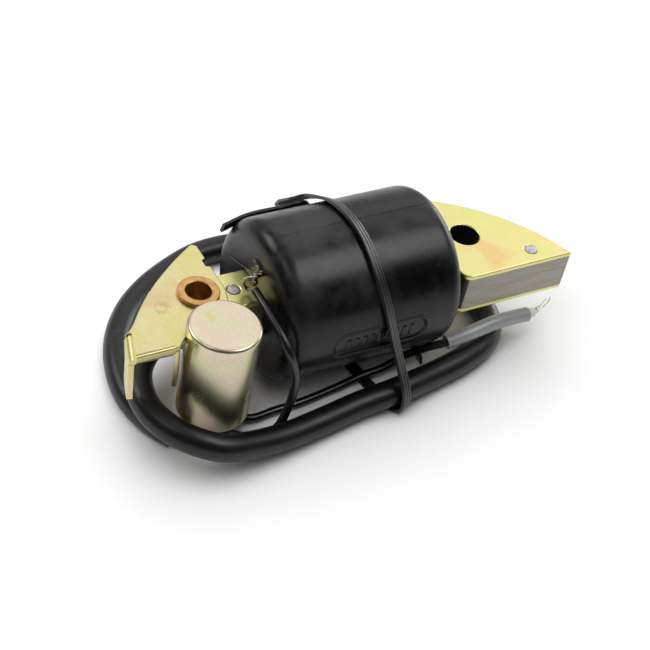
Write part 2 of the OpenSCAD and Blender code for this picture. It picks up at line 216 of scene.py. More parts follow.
def turned(name, profile, centre, axis="Z", segments=96, closed=False, sharp=35.0):
    """A turned shape from (radius, height) points round an axis through centre."""
    verts, faces = [], []
    count = len(profile)
    for i in range(segments):
        a = 2 * math.pi * i / segments
        for r, h in profile:
            x, y = r * math.cos(a), r * math.sin(a)
            verts.append((centre[0] + x, centre[1] + y, centre[2] + h) if axis == "Z"
                         else (centre[0] + h, centre[1] + x, centre[2] + y))
    for i in range(segments):
        j = (i + 1) % segments
        for k in range(count if closed else count - 1):
            m = (k + 1) % count
            faces.append((i * count + k, j * count + k, j * count + m, i * count + m))
    return mesh_piece(name, verts, faces, sharp)


def smooth_route(points, step):
    """An even run of points in millimetres along a smooth curve through the route."""
    ends = [Vector(points[0]) * 2 - Vector(points[1])] + [Vector(p) for p in points]
    ends.append(ends[-1] * 2 - ends[-2])
    dense = []
    for i in range(1, len(ends) - 2):
        a, b, c, d = ends[i - 1:i + 3]
        ta, tb, tc = ((a - b).length ** 0.5, (b - c).length ** 0.5, (c - d).length ** 0.5)
        m1 = ((b - a) / ta - (c - a) / (ta + tb) + (c - b) / tb) * tb
        m2 = ((c - b) / tb - (d - b) / (tb + tc) + (d - c) / tc) * tb
        for k in range(24):
            t = k / 24
            dense.append(b * (2 * t ** 3 - 3 * t * t + 1) + m1 * (t ** 3 - 2 * t * t + t)
                         + c * (-2 * t ** 3 + 3 * t * t) + m2 * (t ** 3 - t * t))
    dense.append(ends[-2])
    length = sum((q - p).length for p, q in zip(dense, dense[1:]))
    count = max(2, round(length / step))
    out, want, done, i = [dense[0]], length / count, 0.0, 0
    target = want
    while len(out) < count and i < len(dense) - 1:
        leg = (dense[i + 1] - dense[i]).length
        if done + leg >= target:
            out.append(dense[i].lerp(dense[i + 1], (target - done) / leg))
            target += want
        else:
            done += leg
            i += 1
    out.append(dense[-1])
    return out


def frames(path, start):
    """A heading, a side and an up direction at each point, with no twist between them."""
    out, side = [], Vector(start)
    for i, p in enumerate(path):
        head = (path[min(i + 1, len(path) - 1)] - path[max(i - 1, 0)]).normalized()
        side = (side - head * side.dot(head)).normalized()
        out.append((head, side, side.cross(head)))
    return out


def swept(name, path, section, start=(0, 0, 1), sharp=40.0):
    """A section of (side, up) points swept along a path and closed at both ends."""
    verts, faces, count = [], [], len(section)
    for p, (head, side, up) in zip(path, frames(path, start)):
        verts += [tuple(p + side * a + up * b) for a, b in section]
    for i in range(len(path) - 1):
        for k in range(count):
            m = (k + 1) % count
            faces.append((i * count + k, i * count + m, (i + 1) * count + m, (i + 1) * count + k))
    faces.append(tuple(range(count - 1, -1, -1)))
    faces.append(tuple((len(path) - 1) * count + k for k in range(count)))
    return mesh_piece(name, verts, faces, sharp)


def circle(d, n=20):
    return [(d / 2 * math.cos(2 * math.pi * k / n), d / 2 * math.sin(2 * math.pi * k / n))
            for k in range(n)]


def joined(name, parts):
    """Several meshes made into one object."""
    bpy.ops.object.select_all(action="DESELECT")
    for part in parts:
        part.select_set(True)
    bpy.context.view_layer.objects.active = parts[0]
    bpy.ops.object.join()
    parts[0].name = name
    return parts[0]


# ------------------------------------------------------------------- the camera

camera = bpy.data.objects.new("camera", bpy.data.cameras.new("camera"))
bpy.context.scene.collection.objects.link(camera)
camera.data.lens = 86.5
camera.data.sensor_width = 36
camera.data.clip_start, camera.data.clip_end = 0.01, 20
right = Vector((0.86542, -0.4726, 0.16639))
up = Vector((0.22225, 0.65973, 0.71789))
back = Vector((-0.44905, -0.5843, 0.67598))
camera.matrix_world = Matrix((
    (right.x, up.x, back.x, -0.22189),
    (right.y, up.y, back.y, -0.23873),
    (right.z, up.z, back.z, 0.25487),
    (0, 0, 0, 1)))
bpy.context.scene.camera = camera

# ------------------------------------------------------- sizes, in millimetres

core_t, plate_t, arm_w = 12.65, 1.2, 12.0
tail_x, pole_x, pole_y = -78.0, -9.2, -15.2
axis_z = -core_t / 2
case_r, case_x0, case_x1 = 21.0, -62.5, -12.0
left_round, right_round = 4.8, 4.2
tie_t, tie_w = 0.9, 3.2
floor_z = axis_z - case_r - tie_t
ht_d, lt_d, sleeve_d = 7.0, 2.2, 4.0
ht_z = floor_z + ht_d / 2 + 0.02
lt_z = floor_z + lt_d / 2 + 0.05
out_y, out_z = 10.0, axis_z - 10.7
boss_x = case_x0 - 5
term_x, term_y, term_z = -65.2, -2.8, 2.9
can_x, can_y, can_r, can_top, can_bot = -78.5, -15.1, 9.0, 5.0, -23.0
cap_bot = can_bot - 4.4

# ---------------------------------------------------------- routes of the leads

ht_route = [
    (boss_x, out_y, out_z), (boss_x - 5.5, out_y, out_z), (-80, 8.2, -17),
    (-88, 3, -17), (-93.5, -3.4, -17), (-96, -11.4, -17), (-95.4, -18.8, -17.2),
    (-91.3, -26, -17.8), (-83.6, -30.4, -19.9), (-74.7, -30.3, -22.3), (-65.2, -29.3, -24),
    (-53.6, -27.5, ht_z), (-41.8, -25.7, ht_z), (-31, -25.4, ht_z + 0.95), (-18, -23, ht_z + 0.1),
    (-7, -20.6, ht_z), (2.6, -16.6, ht_z), (8, -10.4, ht_z), (9.4, -3, ht_z), (7.2, 4.4, ht_z),
    (2.4, 11.4, ht_z), (-4.4, 18.4, ht_z), (-12.6, 25.2, ht_z), (-22.4, 31.3, ht_z),
    (-33.6, 36.2, ht_z), (-45.6, 39.2, ht_z), (-57, 38.8, ht_z), (-67, 35.2, ht_z),
    (-76, 30.4, ht_z), (-84, 23.8, ht_z), (-90.3, 15.3, ht_z), (-94, 6, ht_z),
    (-95.4, -3.5, ht_z), (-94.1, -11.2, ht_z), (-92.3, -15.5, ht_z), (-90.2, -18.7, ht_z)]
lt_route = [
    (can_x + 2, can_y - 0.4, cap_bot + 1.3), (can_x + 4.6, can_y - 0.4, cap_bot + 1.3),
    (-69.4, -18.8, lt_z + 0.4), (-62, -18.3, lt_z), (-54.5, -18, lt_z), (-45, -16.8, lt_z),
    (-35.5, -15.8, lt_z + tie_t), (-28.3, -15.8, lt_z + 2), (-22.3, -15.4, lt_z + 4),
    (-17, -16.2, lt_z + 5.6), (-11.6, -17.4, lt_z + 7.1)]
sleeve_route = [
    (-11.6, -17.4, lt_z + 7.1), (-4.3, -17.5, lt_z + 8.4), (4.3, -16.7, lt_z + 8.9),
    (9.8, -16.3, lt_z + 8.5), (15.3, -16.1, lt_z + 8)]
white_route = [
    (15.3, -16.1, lt_z + 8), (16.4, -15.9, lt_z + 7.9), (17.5, -15.7, lt_z + 7.7)]
tinned_route = [(17.5, -15.7, lt_z + 7.7), (21.5, -14.3, lt_z + 7.7), (26, -12.5, lt_z + 7.9)]
jumper_route = [
    (term_x, term_y - 2, term_z), (term_x, -8, term_z - 0.3), (term_x, -12, 2.3),
    (-65, -18.9, 0.8), (-64, -23, -2.6), (-62, -24, -9), (-61.6, -24, -15.5),
    (-62.5, -24, -21.5), (-64.8, -24.8, -25.4), (-69, -24.6, lt_z), (-74.5, -22.6, lt_z),
    (can_x, can_y - 4.6, cap_bot + 1.3), (can_x, can_y - 2, cap_bot + 1.3)]


def around(a, x, out=0.0):
    """A point of the tie on the case, at angle a round the coil axis."""
    r = case_r + tie_t / 2 + 0.1 + out
    return (x, r * math.cos(math.radians(a)), axis_z + r * math.sin(math.radians(a)))


tie_low = floor_z + tie_t / 2 + 0.01
tie_route = [
    (-45.5, 22.2, 4.2), (-41.2, 21.9, 4.4), (-38.4, 20.2, 6.2),
    around(48, -37.9, 0.5), around(68, -37.9), around(90, -37.9), around(112, -37.7),
    around(136, -37.3), around(160, -35.6), (-33.2, -22.9, -8), (-31.4, -26, -15.5),
    (-30.7, -29.6, -21.5), (-30.8, -29.8, -25.6), (-31.8, -27, tie_low), (-33.6, -20, tie_low),
    (-35, -10, tie_low), around(272, -35.8), around(292, -36.1), around(314, -36.3),
    around(336, -36.5), around(358, -36.8), around(376, -37.1, 0.1), around(390, -39.8, 0.5),
    (-46, 19.2, 4.5), (-56, 19.1, 4.5), (-63.5, 17.4, 4.2)]

# -------------------------------------------------------------------- materials

def moulded_phenolic():
    """Black phenolic moulding, pressed in a steel die: half gloss, near black, with a painted
    grey highlight in clouds on its upper side, where the overhead light falls."""
    mat, tree, shader = material("moulded phenolic")
    place = add(tree, "ShaderNodeTexCoord").outputs["Object"]
    # gloss comes and goes over 9 mm clouds, and the same clouds carry the painted highlight
    clouds = add(tree, "ShaderNodeTexNoise", {"Vector": place, "Scale": 1000 / 9, "Detail": 4.0,
                                              "Roughness": 0.55})
    # painted highlight: the grey clouds are lightened only on the upper side of the case, where light
    # falls from above
    height = add(tree, "ShaderNodeSeparateXYZ", {"Vector": place})
    upper = add(tree, "ShaderNodeMapRange", {"Value": height.outputs["Z"], "From Min": -0.004,
                                             "From Max": 0.010}, interpolation_type="SMOOTHSTEP")
    patch = add(tree, "ShaderNodeValToRGB", {"Fac": clouds.outputs["Fac"]},
                stops=[(0.42, 0.0), (0.58, 0.6), (0.7, 1.0)])
    # painted highlight: cloud patches times the upper-side mask, mixed into the base colour below
    film = add(tree, "ShaderNodeMath", {0: patch.outputs["Color"], 1: upper.outputs["Result"]},
               operation="MULTIPLY")
    black_and_highlight = add(tree, "ShaderNodeMix", {0: film.outputs["Value"], 6: linear("#080808"),
                                       7: linear("#2b2b2c")}, data_type="RGBA")
    # dust specks under 0.3 mm, drawn at 0.5 mm so that they show
    dust = add(tree, "ShaderNodeTexVoronoi", {"Vector": place, "Scale": 1000 / 2.2})
    speck = add(tree, "ShaderNodeValToRGB", {"Fac": dust.outputs["Distance"]},
                stops=[(0.0, 1.0), (0.07, 0.6), (0.11, 0.0)])
    sparse = add(tree, "ShaderNodeTexNoise", {"Vector": place, "Scale": 1000 / 14, "Detail": 1.0})
    here = add(tree, "ShaderNodeValToRGB", {"Fac": sparse.outputs["Fac"]},
               stops=[(0.56, 0.0), (0.68, 0.8)])
    both = add(tree, "ShaderNodeMath", {0: speck.outputs["Color"], 1: here.outputs["Color"]},
               operation="MULTIPLY")
    skin = add(tree, "ShaderNodeMix", {0: both.outputs["Value"], 6: black_and_highlight.outputs[2],
                                       7: linear("#4a4741")}, data_type="RGBA")
    tree.links.new(skin.outputs[2], shader.inputs["Base Color"])
    gloss = add(tree, "ShaderNodeValToRGB", {"Fac": clouds.outputs["Fac"]},
                stops=[(0.35, 0.24), (0.55, 0.32), (0.72, 0.42)])
    tree.links.new(gloss.outputs["Color"], shader.inputs["Roughness"])
    grain = add(tree, "ShaderNodeTexNoise", {"Vector": place, "Scale": 1000 / 0.7, "Detail": 3.0})
    bump = add(tree, "ShaderNodeBump", {"Height": grain.outputs["Fac"], "Strength": 0.05,
                                        "Distance": 0.0002})
    tree.links.new(bump.outputs["Normal"], shader.inputs["Normal"])
    shader.inputs["IOR"].default_value = 1.5
    shader.inputs["Specular IOR Level"].default_value = 0.3
    return mat


def extruded_rubber():
    """Black synthetic rubber jacket, extruded: satin, with a few pale rubs along it."""
    mat, tree, shader = material("extruded rubber")
    place = add(tree, "ShaderNodeTexCoord").outputs["Object"]
    wear = add(tree, "ShaderNodeTexNoise", {"Vector": place, "Scale": 1000 / 5, "Detail": 5.0,
                                            "Roughness": 0.65})
    rough = add(tree, "ShaderNodeValToRGB", {"Fac": wear.outputs["Fac"]},
                stops=[(0.3, 0.32), (0.7, 0.42)])
    # rubs are thin and long, about 0.4 mm by 5 mm
    turned_place = add(tree, "ShaderNodeMapping", {"Vector": place, "Rotation": (0.2, 0.1, 0.5),
                                                   "Scale": (0.12, 1.0, 1.0)})
    rubs = add(tree, "ShaderNodeTexNoise", {"Vector": turned_place.outputs["Vector"],
                                            "Scale": 1000 / 1.3, "Detail": 2.0})
    thin = add(tree, "ShaderNodeValToRGB", {"Fac": rubs.outputs["Fac"]},
               stops=[(0.72, 0.0), (0.77, 1.0)])
    skin = add(tree, "ShaderNodeMix", {0: thin.outputs["Color"], 6: linear("#0b0b0c"),
                                       7: linear("#3c3a38")}, data_type="RGBA")
    tree.links.new(skin.outputs[2], shader.inputs["Base Color"])
    tree.links.new(rough.outputs["Color"], shader.inputs["Roughness"])
    bump = add(tree, "ShaderNodeBump", {"Height": wear.outputs["Fac"], "Strength": 0.08,
                                        "Distance": 0.0003})
    tree.links.new(bump.outputs["Normal"], shader.inputs["Normal"])
    shader.inputs["IOR"].default_value = 1.5
    shader.inputs["Specular IOR Level"].default_value = 0.4
    return mat


def pvc(name, colour, dark, rough, grain_mm=1.5):
    """Extruded PVC: even colour with a faint drift, glossier than rubber."""
    mat, tree, shader = material(name)
    place = add(tree, "ShaderNodeTexCoord").outputs["Object"]
    drift = add(tree, "ShaderNodeTexNoise", {"Vector": place, "Scale": 1000 / grain_mm,
                                             "Detail": 3.0})
    tint = add(tree, "ShaderNodeValToRGB", {"Fac": drift.outputs["Fac"]},
               stops=[(0.3, dark), (0.65, colour)])
    tree.links.new(tint.outputs["Color"], shader.inputs["Base Color"])
    bump = add(tree, "ShaderNodeBump", {"Height": drift.outputs["Fac"], "Strength": 0.05,
                                        "Distance": 0.0002})
    tree.links.new(bump.outputs["Normal"], shader.inputs["Normal"])
    shader.inputs["Roughness"].default_value = rough
    shader.inputs["IOR"].default_value = 1.53
    return mat


def passivated_zinc(name, patches, rough, patch_mm, seed=0.0):
    """Steel with yellow passivated zinc: a thin film whose colour drifts from yellow to pink."""
    mat, tree, shader = material(name)
    place = add(tree, "ShaderNodeTexCoord").outputs["Object"]
    shifted = add(tree, "ShaderNodeVectorMath", {0: place, 1: (seed, seed * 0.7, seed * 0.3)},
                  operation="ADD")
    film = add(tree, "ShaderNodeTexNoise", {"Vector": shifted.outputs["Vector"],
                                            "Scale": 1000 / patch_mm, "Detail": 1.5,
                                            "Roughness": 0.45, "Distortion": 0.35})
    tint = add(tree, "ShaderNodeValToRGB", {"Fac": film.outputs["Fac"]}, stops=patches)
    # fine crystals of the plating, near 0.4 mm
    crystals = add(tree, "ShaderNodeTexNoise", {"Vector": place, "Scale": 1000 / 0.4,
                                                "Detail": 2.0})
    shade = add(tree, "ShaderNodeValToRGB", {"Fac": crystals.outputs["Fac"]},
                stops=[(0.25, "#e9e9e9"), (0.7, "#ffffff")])
    colour = add(tree, "ShaderNodeMix", {0: 0.8, 6: tint.outputs["Color"],
                                         7: shade.outputs["Color"]},
                 data_type="RGBA", blend_type="MULTIPLY")
    tree.links.new(colour.outputs[2], shader.inputs["Base Color"])
    spread = add(tree, "ShaderNodeMapRange", {"Value": film.outputs["Fac"], "To Min": rough - 0.05,
                                              "To Max": rough + 0.08})
    tree.links.new(spread.outputs["Result"], shader.inputs["Roughness"])
    bump = add(tree, "ShaderNodeBump", {"Height": crystals.outputs["Fac"], "Strength": 0.02,
                                        "Distance": 0.0002})
    tree.links.new(bump.outputs["Normal"], shader.inputs["Normal"])
    shader.inputs["Metallic"].default_value = 1.0
    return mat


def sheared_steel():
    """Edges of the punched core sheets: grey, with streaks from sheet to sheet, rusty low down."""
    mat, tree, shader = material("sheared steel edges")
    place = add(tree, "ShaderNodeTexCoord").outputs["Object"]
    # streaks as long as 12 mm along a sheet and as thin as the sheets
    drawn = add(tree, "ShaderNodeMapping", {"Vector": place, "Scale": (0.06, 0.06, 1.0)})
    streak = add(tree, "ShaderNodeTexNoise", {"Vector": drawn.outputs["Vector"],
                                              "Scale": 1000 / 0.8, "Detail": 3.0})
    grey = add(tree, "ShaderNodeValToRGB", {"Fac": streak.outputs["Fac"]},
               stops=[(0.3, "#8c897f"), (0.5, "#959187"), (0.7, "#9f9b90")])
    height = add(tree, "ShaderNodeSeparateXYZ", {"Vector": place})
    blotch = add(tree, "ShaderNodeTexNoise", {"Vector": place, "Scale": 1000 / 4, "Detail": 3.0})
    ragged = add(tree, "ShaderNodeMath", {0: blotch.outputs["Fac"], 1: 0.004,
                                          2: height.outputs["Z"]}, operation="MULTIPLY_ADD")
    low = add(tree, "ShaderNodeMapRange", {"Value": ragged.outputs["Value"], "From Min": -0.0085,
                                           "From Max": -0.0110})
    colour = add(tree, "ShaderNodeMix", {0: low.outputs["Result"], 6: grey.outputs["Color"],
                                         7: linear("#a8814e")}, data_type="RGBA")
    tree.links.new(colour.outputs[2], shader.inputs["Base Color"])
    bump = add(tree, "ShaderNodeBump", {"Height": streak.outputs["Fac"], "Strength": 0.05,
                                        "Distance": 0.0002})
    tree.links.new(bump.outputs["Normal"], shader.inputs["Normal"])
    shader.inputs["Metallic"].default_value = 1.0
    shader.inputs["Roughness"].default_value = 0.42
    return mat


def bare_metal(name, light, dark, rough, patch_mm, dent=0.1):
    """A metal with no paint: its tone and its fine dents drift over small patches."""
    mat, tree, shader = material(name)
    place = add(tree, "ShaderNodeTexCoord").outputs["Object"]
    drift = add(tree, "ShaderNodeTexNoise", {"Vector": place, "Scale": 1000 / patch_mm,
                                             "Detail": 4.0, "Roughness": 0.6})
    tint = add(tree, "ShaderNodeValToRGB", {"Fac": drift.outputs["Fac"]},
               stops=[(0.32, dark), (0.62, light)])
    tree.links.new(tint.outputs["Color"], shader.inputs["Base Color"])
    bump = add(tree, "ShaderNodeBump", {"Height": drift.outputs["Fac"], "Strength": dent,
                                        "Distance": 0.0003})
    tree.links.new(bump.outputs["Normal"], shader.inputs["Normal"])
    shader.inputs["Metallic"].default_value = 1.0
    shader.inputs["Roughness"].default_value = rough
    return mat


def plain_solid(name, light, dark, rough, patch_mm, bands=0.0):
    """A dull solid of the inside: resin, bobbin, paper or wound wire seen as bands."""
    mat, tree, shader = material(name)
    place = add(tree, "ShaderNodeTexCoord").outputs["Object"]
    drift = add(tree, "ShaderNodeTexNoise", {"Vector": place, "Scale": 1000 / patch_mm,
                                             "Detail": 4.0})
    tint = add(tree, "ShaderNodeValToRGB", {"Fac": drift.outputs["Fac"]},
               stops=[(0.3, dark), (0.7, light)])
    tree.links.new(tint.outputs["Color"], shader.inputs["Base Color"])
    if bands:
        # turns of wire lie side by side along the coil axis
        turns = add(tree, "ShaderNodeTexWave", {"Vector": place, "Scale": 1000 / bands / 20,
                                                "Distortion": 0.2})
        bump = add(tree, "ShaderNodeBump", {"Height": turns.outputs["Fac"], "Strength": 0.5,
                                            "Distance": 0.0003})
    else:
        bump = add(tree, "ShaderNodeBump", {"Height": drift.outputs["Fac"], "Strength": 0.1,
                                            "Distance": 0.0003})
    tree.links.new(bump.outputs["Normal"], shader.inputs["Normal"])
    shader.inputs["Roughness"].default_value = rough
    return mat


phenolic = moulded_phenolic()
rubber = extruded_rubber()
black_pvc = pvc("black pvc", "#0d0d0e", "#080809", 0.28)
grey_pvc = pvc("grey pvc", "#a0a3a4", "#969999", 0.3, 6.0)
white_pvc = pvc("white pvc", "#f0efea", "#dcdad4", 0.4)
tie_pvc = pvc("black tie pvc", "#0c0c0d", "#070708", 0.34)
core_zinc = passivated_zinc(
    "yellow zinc on the core",
    [(0.3, "#e6e08c"), (0.44, "#e0dc94"), (0.55, "#e8dc98"), (0.66, "#e8c888"), (0.78, "#e2dfa8")],
    0.36, 16.0)
bracket_zinc = passivated_zinc(
    "yellow zinc on the bracket",
    [(0.3, "#d6cc84"), (0.45, "#d9cf92"), (0.58, "#dcd29e"), (0.7, "#dcc292"), (0.82, "#cfd0a0")],
    0.34, 11.0, 0.31)
can_zinc = passivated_zinc(
    "bright zinc on the can",
    [(0.30, "#c9d29c"), (0.40, "#d6d2ab"), (0.50, "#d9c6b4"), (0.58, "#d2ceaa"), (0.63, "#dcb768"),
     (0.67, "#cdd2a0"), (0.76, "#a6d2b8")],
    0.28, 15.0, 0.83)
sheet_edges = sheared_steel()
# painted shade: a near-black finish for the faces of the core that lie in shadow
painted_bore_shade = pvc("painted shade in the bore", "#0b0a09", "#060505", 0.5, 1.0)
bright_rivet = bare_metal("bright rivet steel", "#c6c0c8", "#a9a2ac", 0.45, 1.2, 0.15)
sintered_bronze = bare_metal("sintered bronze", "#dcae72", "#c08d54", 0.42, 1.4, 0.2)
tinned_copper = bare_metal("tinned copper", "#cfcabb", "#6d675a", 0.25, 0.6, 0.5)
soft_solder = bare_metal("soft solder", "#cdc4a6", "#4d4636", 0.24, 0.6, 0.7)
brass_turned = bare_metal("turned brass", "#d8b569", "#b8924a", 0.25, 2.0)
fine_copper = bare_metal("enamelled winding wire", "#6f7263", "#4a4a3e", 0.35, 1.0)
potting = plain_solid("dark potting resin", "#1d1713", "#120e0b", 0.35, 6.0)
bobbin_nylon = plain_solid("natural nylon", "#b9ac86", "#a89a73", 0.45, 5.0)
wound_copper = plain_solid("wound enamelled copper", "#a8622f", "#7d431d", 0.35, 2.0, 0.5)
varnished_paper = plain_solid("varnished paper", "#c9ab6d", "#b0914f", 0.45, 4.0)
seal_board = plain_solid("sealing board", "#2a2019", "#1a130f", 0.5, 2.0)

for node, mat in (
        ("potting_resin", potting), ("primary_bobbin", bobbin_nylon),
        ("secondary_bobbin", bobbin_nylon), ("primary_winding", wound_copper),
        ("secondary_winding", wound_copper), ("winding_insulation", varnished_paper),
        ("ht_contact", brass_turned), ("condenser_roll", varnished_paper),
        ("condenser_seal", seal_board)):
    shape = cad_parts[node]
    shape.data.materials.clear()
    shape.data.materials.append(mat)

# ------------------------------------------------------------------- the leads

ht_path = smooth_route(ht_route, 2.0)
ht_lead = swept("high_tension_lead", ht_path, circle(ht_d, 32))
finish_piece(ht_lead, rubber, ["ht_lead"])

# the cut end shows the tinned strands in the middle of the jacket
end, before = ht_path[-1], ht_path[-2]
head = (end - before).normalized()
side = head.cross(Vector((0, 0, 1))).normalized()
over = side.cross(head)
strands = []
for k in range(7):
    a = 2 * math.pi * k / 6
    off = Vector((0, 0, 0)) if k == 6 else (side * math.cos(a) + over * math.sin(a)) * 0.53
    strands.append(swept("strand", [end + off - head * 0.5, end + off + head * 0.3,
                                    end + off + head * (0.75 - 0.08 * (k % 3))],
                         circle(0.5, 10)))
ht_core = joined("high_tension_conductor", strands)
finish_piece(ht_core, tinned_copper, ["ht_lead_core"])

jumper_path = smooth_route(jumper_route, 1.0)
jumper = swept("coil_to_can_wire", jumper_path, circle(lt_d, 18))
finish_piece(jumper, black_pvc, ["jumper_wire"])

lt_path = smooth_route(lt_route, 1.0)
lt_lead = swept("low_tension_wire", lt_path, circle(lt_d, 18))
finish_piece(lt_lead, black_pvc, ["lt_lead"])


def open_sleeve(name, path, d_out, d_in, deep):
    """A solid sleeve whose ends are hollowed for a short way, as a slipped-on tube is."""
    verts, faces, n = [], [], 24
    way = frames(path, (0, 0, 1))
    rings = [(path[0] + way[0][0] * deep, d_in, 0), (path[0] + way[0][0] * 0.15, d_in, 0),
             (path[0], (d_in + d_out) / 2, 0)]
    rings += [(p, d_out, i) for i, p in enumerate(path)][1:-1]
    last = len(path) - 1
    rings.insert(3, (path[0] + way[0][0] * 0.15, d_out, 0))
    rings.append((path[-1] - way[-1][0] * 0.15, d_out, last))
    rings += [(path[-1], (d_in + d_out) / 2, last), (path[-1] - way[-1][0] * 0.15, d_in, last),
              (path[-1] - way[-1][0] * deep, d_in, last)]
    for p, d, i in rings:
        for a, b in circle(d, n):
            verts.append(tuple(p + way[i][1] * a + way[i][2] * b))
    for i in range(len(rings) - 1):
        for k in range(n):
            m = (k + 1) % n
            faces.append((i * n + k, i * n + m, (i + 1) * n + m, (i + 1) * n + k))
    faces.append(tuple(range(n - 1, -1, -1)))
    faces.append(tuple((len(rings) - 1) * n + k for k in range(n)))
    return mesh_piece(name, verts, faces, 50)


sleeve_path = smooth_route(sleeve_route, 1.0)
sleeve = open_sleeve("grey_sleeve", sleeve_path, sleeve_d, 2.5, 1.2)
finish_piece(sleeve, grey_pvc, ["lt_sleeve"])

white_path = smooth_route([tuple(sleeve_path[-3])] + white_route[1:], 0.5)
white = swept("white_insulation", white_path, circle(lt_d * 1.2, 16))
finish_piece(white, white_pvc, ["lt_insulation"])

# five strands are cut short in a bunch, and two reach on and curl towards each other
start, on, tip = (Vector(p) for p in tinned_route)
fan = []
for k in range(5):
    a = 2 * math.pi * k / 5
    off = Vector((0.1 * k, 0.45 * math.cos(a), 0.45 * math.sin(a)))
    fan.append(swept("strand", smooth_route([
        tuple(start + off - Vector((1.0, 0, 0))), tuple(start + off * 1.1 + Vector((0.4, 0.1, 0))),
        tuple(start.lerp(on, 0.7) + off * 0.7)], 0.4), circle(0.62, 8)))
for rise, bow in ((0.5, 0.7), (-0.6, -0.9)):
    fan.append(swept("strand", smooth_route([
        tuple(start), tuple(start.lerp(on, 0.8) + Vector((0, 0, rise))),
        tuple(on.lerp(tip, 0.4) + Vector((0, 0, rise + bow))),
        tuple(on.lerp(tip, 0.85) + Vector((0.2, 0, rise * 0.6))),
        tuple(tip + Vector((0, 0.3, rise * 0.3)))], 0.4), circle(0.3, 8)))
strand_end = joined("stripped_strands", fan)
finish_piece(strand_end, tinned_copper, ["lt_tinned_end"])

clip = stack("lead_clip_blade", [rounded([(-3.5, -1.9, 0.6), (3.5, -1.9, 0.6), (3.5, 1.9, 0.6),
                                          (-3.5, 1.9, 0.6)]),
                                 hole(0, 0, lt_d / 2 + 0.05, 24)],
             pressed(-0.35, 0.35, 0.12, 0.12),
             matrix=Matrix.Translation((-0.0194, -0.0158, (lt_z + 4.9) * MM))
             @ Matrix.Rotation(math.radians(-14), 4, "Y") @ Matrix.Rotation(math.radians(-8), 4, "Z")
             @ Matrix(((0, 0, 1, 0), (1, 0, 0, 0), (0, 1, 0, 0), (0, 0, 0, 1))))
finish_piece(clip, black_pvc, ["lead_clip"])

# the flat tie has three ribs along each face
ribs = []
for face in (1, -1):
    row = [(-1.55 + 3.1 * i / 24) * face for i in range(25)]
    for u in row:
        across = ((u + tie_w / 2) % (tie_w / 3)) / (tie_w / 3) * 2 - 1
        ribs.append((u, face * (0.27 + 0.18 * math.sqrt(max(0.0, 1 - across * across)))))
tie_path = smooth_route(tie_route, 1.2)
tie = swept("flat_tie", tie_path, ribs, start=(0, -0.5, 0.87), sharp=60)
finish_piece(tie, tie_pvc, ["twist_tie"])

# --------------------------------------------------------------- the coil case

def case_profile(x):
    """Radius of the case at x: straight in the middle, with an eased rounding at each end."""
    for edge, r in ((case_x0, left_round), (case_x1, right_round)):
        d = abs(x - edge)
        if d < r:
            return case_r - r + math.sqrt(max(0.0, r * r - (r - d) ** 2))
    return case_r


panel_x0, panel_x1, panel_half, panel_z = -50.0, -23.0, 3.5, axis_z - 0.7
pip_count, pip_x0, pip_pitch = 9, panel_x0 + 4.35, 2.3


def smooth_step(t):
    t = min(1.0, max(0.0, t))
    return t * t * (3 - 2 * t)


def panel_depth(x, z):
    """How far the skin sinks at the recessed panel, with a raised row of plain pips in it."""
    near = min(max(x, panel_x0 + panel_half), panel_x1 - panel_half)
    reach = math.hypot(x - near, z - panel_z)
    sunk = 0.5 * smooth_step((panel_half - reach) / 0.55)
    rim = 0.14 * math.exp(-((reach - panel_half - 0.35) / 0.3) ** 2)
    rise = 0.0
    for k in range(pip_count):
        dx = abs(x - (pip_x0 + pip_pitch * k)) - 0.4
        dz = abs(z - panel_z) - 1.4
        rise = max(rise, 0.26 * smooth_step(1 - max(dx, dz) / 0.35))
    return sunk - rim - rise


def witness(x, a):
    """Faint rings left by the ejectors, and the ridge of the parting line above and below."""
    raised = sum(0.1 * math.exp(-((a - line) * case_r / 0.16) ** 2)
                 for line in (math.pi / 2, -math.pi / 2))
    if case_x0 + 4.5 > x or x > case_x1 - 4:
        raised = 0.0
    for cx, ca, r in ((-22.5, math.radians(149), 3.2), (-56.8, math.radians(116), 5.5)):
        d = math.hypot(x - cx, (a - ca) * case_r)
        raised -= 0.05 * math.exp(-((d - r) / 0.25) ** 2)
    return raised


slot_y, slot_z = arm_w / 2 + 0.2, core_t / 2 + 0.2
xs = [case_x0 + left_round * (1 - math.cos(math.pi / 2 * k / 12)) for k in range(13)]
xs += [case_x0 + left_round + 0.5 * k for k in range(1, 12)]
xs += [panel_x0 - 0.8 + 0.2 * k for k in range(145)]
xs = sorted(x for x in xs if x < panel_x1 + 0.7)
step = (case_x1 - right_round - xs[-1]) / 8
xs += [xs[-1] + step * k for k in range(1, 9)]
xs += [case_x1 - right_round * (1 - math.sin(math.pi / 2 * k / 12)) for k in range(1, 13)]
low_a = math.asin((panel_z - 4.6 - axis_z) / case_r)
high_a = math.asin((panel_z + 4.6 - axis_z) / case_r)
turns = [math.pi - (low_a + (high_a - low_a) * k / 46) for k in range(47)]
for line in (math.pi / 2, -math.pi / 2):
    turns += [line + d / case_r for d in (-0.5, -0.25, -0.12, 0, 0.12, 0.25, 0.5)]
corner = math.atan2(slot_z, slot_y)
turns += [corner, -corner, math.pi - corner, corner - math.pi]
turns += [math.radians(a) for a in range(-180, 180, 2)]
turns = sorted(math.atan2(math.sin(a), math.cos(a)) for a in turns)
turns = [a for i, a in enumerate(turns) if i == 0 or a - turns[i - 1] > 0.0035]
verts, faces = [], []
